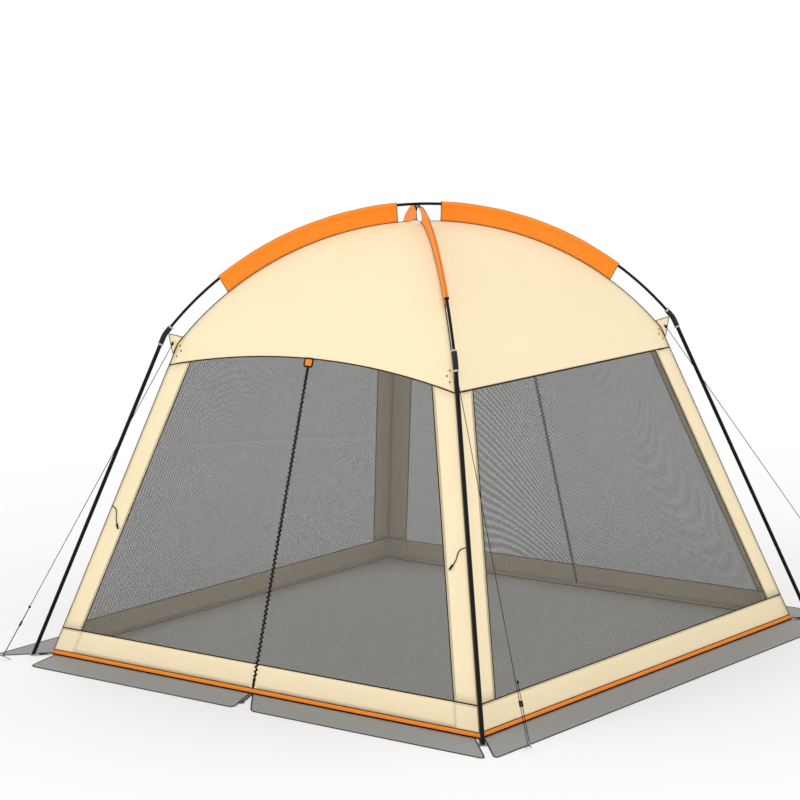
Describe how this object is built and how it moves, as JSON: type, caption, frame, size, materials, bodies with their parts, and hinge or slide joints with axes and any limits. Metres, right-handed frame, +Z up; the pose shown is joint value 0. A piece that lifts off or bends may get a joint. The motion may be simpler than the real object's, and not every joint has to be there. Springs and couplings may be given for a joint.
{
  "type": "screen house",
  "caption": "Square screen house: domed cream canopy on crossed arched poles with splayed legs, see-through mesh walls with zipped doors, orange pole sleeves and base tape, grey ground skirts.",
  "frame": {"origin": "centre of the base on the ground", "axes": "+Z up, -Y is the front door wall, +X is the side wall on its right"},
  "size_m": [3.6916, 3.6063, 2.516],
  "materials": {
    "canopy_cloth": "satin",
    "screen_mesh": "matte",
    "orange_cloth": "satin",
    "skirt_sheet": "matte",
    "black_webbing": "matte",
    "black_fibreglass": "gloss",
    "black_steel": "satin",
    "black_plastic": "matte",
    "grey_plastic": "satin",
    "zinc_steel": "satin",
    "dark_metal": "satin",
    "black_cord": "matte",
    "zip_tape": "matte"
  },
  "bodies": {
    "shelter": {"base_welt": "orange_cloth", "corner_eyelets": "dark_metal", "corner_gussets": "canopy_cloth", "corner_strip_front_left": "canopy_cloth", "corner_strip_front_right": "canopy_cloth", "corner_strip_back_right": "canopy_cloth", "corner_strip_back_left": "canopy_cloth", "door_peg_loops": "black_webbing", "door_tabs": "orange_cloth", "elbow_front_left": "black_plastic", "elbow_front_right": "black_plastic", "elbow_back_right": "black_plastic", "elbow_back_left": "black_plastic", "elbow_collars": "grey_plastic", "foot_pins": "zinc_steel", "ground_skirts": "skirt_sheet", "ground_straps": "black_webbing", "guy_knots": "black_cord", "guy_pegs": "zinc_steel", "guy_rope_front_left": "black_cord", "guy_rope_front_right": "black_cord", "guy_rope_back_right": "black_cord", "leg_front_left": "black_steel", "leg_front_right": "black_steel", "leg_back_right": "black_steel", "leg_back_left": "black_steel", "mesh_left": "screen_mesh", "mesh_right": "screen_mesh", "pole_ferrules": "zinc_steel", "pole_sleeve_lower": "orange_cloth", "pole_sleeve_upper": "orange_cloth", "roof_panel_front": "canopy_cloth", "roof_panel_right": "canopy_cloth", "roof_panel_back": "canopy_cloth", "roof_panel_left": "canopy_cloth", "roof_pole_lower": "black_fibreglass", "roof_pole_upper": "black_fibreglass", "tie_cord_left": "black_cord", "tie_cord_right": "black_cord", "tie_toggles": "black_plastic", "wall_bands": "canopy_cloth"},
    "door_front_left": {"door_mesh_front_left": "screen_mesh", "door_band_front_left": "canopy_cloth", "zip_front_left": "zip_tape"},
    "door_front_right": {"door_mesh_front_right": "screen_mesh", "door_band_front_right": "canopy_cloth", "zip_front_right": "zip_tape"},
    "slider_front": {"zip_slider_front": "dark_metal"},
    "pull_front": {"zip_pull_front": "dark_metal"},
    "door_back_left": {"door_mesh_back_left": "screen_mesh", "door_band_back_left": "canopy_cloth", "zip_back_left": "zip_tape"},
    "door_back_right": {"door_mesh_back_right": "screen_mesh", "door_band_back_right": "canopy_cloth", "zip_back_right": "zip_tape"},
    "slider_back": {"zip_slider_back": "dark_metal"},
    "pull_back": {"zip_pull_back": "dark_metal"},
    "runner_front_left": {"guy_runner_front_left": "black_plastic"},
    "runner_front_right": {"guy_runner_front_right": "black_plastic"},
    "runner_back_right": {"guy_runner_back_right": "black_plastic"}
  },
  "joints": [
    {"name": "door_front_left_hinge", "type": "hinge", "parent": "shelter", "child": "door_front_left", "pos_m": [-1.374, -1.525, 0], "axis": [-0.2847, -0.2847, -0.9154], "range_deg": [0, 95]},
    {"name": "door_front_right_hinge", "type": "hinge", "parent": "shelter", "child": "door_front_right", "pos_m": [1.374, -1.525, 0], "axis": [-0.2847, 0.2847, 0.9154], "range_deg": [0, 95]},
    {"name": "slider_front_travel", "type": "slide", "parent": "door_front_left", "child": "slider_front", "axis": [0, 0.2969, 0.9549], "range_m": [0, 1.6908]},
    {"name": "pull_front_flip", "type": "hinge", "parent": "slider_front", "child": "pull_front", "pos_m": [0, -1.5095, 0.06936], "axis": [-1, 0, 0], "range_deg": [0, 150]},
    {"name": "door_back_left_hinge", "type": "hinge", "parent": "shelter", "child": "door_back_left", "pos_m": [1.374, 1.525, 0], "axis": [0.2847, 0.2847, -0.9154], "range_deg": [0, 95]},
    {"name": "door_back_right_hinge", "type": "hinge", "parent": "shelter", "child": "door_back_right", "pos_m": [-1.374, 1.525, 0], "axis": [0.2847, -0.2847, 0.9154], "range_deg": [0, 95]},
    {"name": "slider_back_travel", "type": "slide", "parent": "door_back_left", "child": "slider_back", "axis": [0, -0.2969, 0.9549], "range_m": [0, 1.6908]},
    {"name": "pull_back_flip", "type": "hinge", "parent": "slider_back", "child": "pull_back", "pos_m": [0, 1.5095, 0.06936], "axis": [1, 0, 0], "range_deg": [0, 150]},
    {"name": "runner_front_left_travel", "type": "slide", "parent": "shelter", "child": "runner_front_left", "axis": [-0.3327, -0.3818, -0.8623], "range_m": [-0.07, 0.12]},
    {"name": "runner_front_right_travel", "type": "slide", "parent": "shelter", "child": "runner_front_right", "axis": [0.4131, -0.273, -0.8688], "range_m": [-0.07, 0.12]},
    {"name": "runner_back_right_travel", "type": "slide", "parent": "shelter", "child": "runner_back_right", "axis": [0.4202, 0.3755, -0.8261], "range_m": [-0.07, 0.12]}
  ]
}
